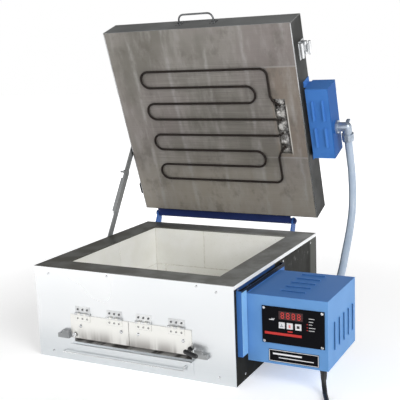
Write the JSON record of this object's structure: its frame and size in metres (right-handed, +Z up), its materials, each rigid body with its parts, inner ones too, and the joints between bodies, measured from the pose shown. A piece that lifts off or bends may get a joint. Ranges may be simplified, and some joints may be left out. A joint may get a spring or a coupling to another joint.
{
  "type": "top-opening bead annealing kiln",
  "caption": "Bench kiln with a stainless case, hinged lid carrying heating elements, hinged bead doors in front, a louvred control box on the right side and a mains lead with a plug.",
  "frame": {"origin": "centre of the case's underside", "axes": "+X towards the control box, +Y towards the hinge side, +Z up; the bead doors look along -Y"},
  "size_m": [0.9158, 0.9035, 0.8654],
  "materials": {
    "dark_steel": "dulled",
    "fibre_board": "matte",
    "firebrick": "matte, porous",
    "polished_steel": "mirror polished stainless",
    "screw_steel": "bright",
    "post_paint": "satin",
    "hinge_paint": "satin",
    "arm_steel": "zinc plated",
    "box_paint": "satin powder coat",
    "chassis_steel": "satin",
    "black_plastic": "satin",
    "display_lens": "glossy",
    "board_plastic": "satin",
    "relay_plastic": "glossy",
    "fitting_metal": "satin",
    "probe_ceramic": "matte",
    "key_plastic": "satin",
    "tinted_steel": "heat tinted",
    "ceramic_blanket": "soft fibre",
    "element_sheath": "oxidised",
    "wool": "crumpled fibre with foil",
    "bumper_rubber": "matte",
    "conduit_skin": "satin",
    "cord_rubber": "satin",
    "tie_fabric": "matte"
  },
  "bodies": {
    "case": {"bottom_pan": "dark_steel", "base_board": "fibre_board", "floor_bricks": "firebrick", "wall_bricks": "firebrick", "front_panel": "polished_steel", "case_wrap": "polished_steel", "rim_trim": "dark_steel", "case_screws": "screw_steel", "hinge_posts": "post_paint", "hinge_rod": "hinge_paint", "stay_post": "screw_steel", "door_hinge_leaves": "polished_steel", "mandrel_rest": "polished_steel", "rest_brackets": "arm_steel", "rest_wire": "arm_steel", "latch_keeper": "screw_steel", "spacer_bracket": "box_paint", "control_cover": "box_paint", "control_chassis": "chassis_steel", "controller_plate": "black_plastic", "display": "display_lens", "circuit_board": "board_plastic", "relay": "relay_plastic", "cord_gland": "black_plastic", "conduit_socket": "fitting_metal", "thermocouple": "probe_ceramic", "conduit": "conduit_skin", "mains_lead": "cord_rubber", "cord_coil": "cord_rubber", "lead_tail": "cord_rubber", "coil_tie": "tie_fabric", "plug": "cord_rubber"},
    "lid": {"lid_shell": "dark_steel", "lid_liner": "tinted_steel", "lid_insulation": "ceramic_blanket", "element_upper": "element_sheath", "element_lower": "element_sheath", "terminal_wool": "wool", "lid_handle": "screw_steel", "lid_hinge": "hinge_paint", "stay_bracket": "screw_steel", "lid_bumper": "bumper_rubber", "latch_base": "screw_steel", "terminal_cover": "box_paint", "terminal_brackets": "post_paint", "elbow_fitting": "fitting_metal"},
    "latch": {"latch_lever": "screw_steel"},
    "lower_stay": {"lower_arm": "arm_steel"},
    "upper_stay": {"upper_arm": "arm_steel"},
    "left_bead_door": {"left_door": "polished_steel", "left_door_block": "firebrick", "left_door_studs": "screw_steel", "door_knob": "screw_steel"},
    "right_bead_door": {"right_door": "polished_steel", "right_door_block": "firebrick", "right_door_studs": "screw_steel", "door_lever": "black_plastic"},
    "first_key": {"key_1": "key_plastic"},
    "second_key": {"key_2": "key_plastic"},
    "third_key": {"key_3": "key_plastic"}
  },
  "joints": [
    {"name": "lid_hinge", "type": "hinge", "parent": "case", "child": "lid", "pos_m": [0, 0.3153, 0.2632], "axis": [1, 0, 0], "range_deg": [0, 70.74], "deforming": ["conduit"]},
    {"name": "lower_stay_pivot", "type": "hinge", "parent": "case", "child": "lower_stay", "pos_m": [-0.28845, 0.0327, 0.1675], "axis": [1, 0, 0], "range_deg": [0, 103.02]},
    {"name": "upper_stay_pivot", "type": "hinge", "parent": "lid", "child": "upper_stay", "pos_m": [-0.29185, 0.24907, 0.50064], "axis": [1, 0, 0], "range_deg": [-114.54, 0]},
    {"name": "left_bead_door_hinge", "type": "hinge", "parent": "case", "child": "left_bead_door", "pos_m": [-0.09, -0.2876, 0.127], "axis": [-1, 0, 0], "range_deg": [0, 110]},
    {"name": "right_bead_door_hinge", "type": "hinge", "parent": "case", "child": "right_bead_door", "pos_m": [0.085, -0.2876, 0.127], "axis": [-1, 0, 0], "range_deg": [0, 110]},
    {"name": "latch_pivot", "type": "hinge", "parent": "lid", "child": "latch", "pos_m": [0.29325, 0.18191, 0.75047], "axis": [0, -0.3299, 0.944], "range_deg": [-75, 75]},
    {"name": "first_key_press", "type": "slide", "parent": "case", "child": "first_key", "axis": [0, 1, 0], "range_m": [0, 0.001], "stiffness_N_per_m": 400, "springref_m": -0.0005},
    {"name": "second_key_press", "type": "slide", "parent": "case", "child": "second_key", "axis": [0, 1, 0], "range_m": [0, 0.001], "stiffness_N_per_m": 400, "springref_m": -0.0005},
    {"name": "third_key_press", "type": "slide", "parent": "case", "child": "third_key", "axis": [0, 1, 0], "range_m": [0, 0.001], "stiffness_N_per_m": 400, "springref_m": -0.0005}
  ],
  "couplings": [
    {"joint": "lower_stay_pivot", "follows": "lid_hinge", "ratio": 1.4562},
    {"joint": "upper_stay_pivot", "follows": "lid_hinge", "ratio": -1.619}
  ]
}
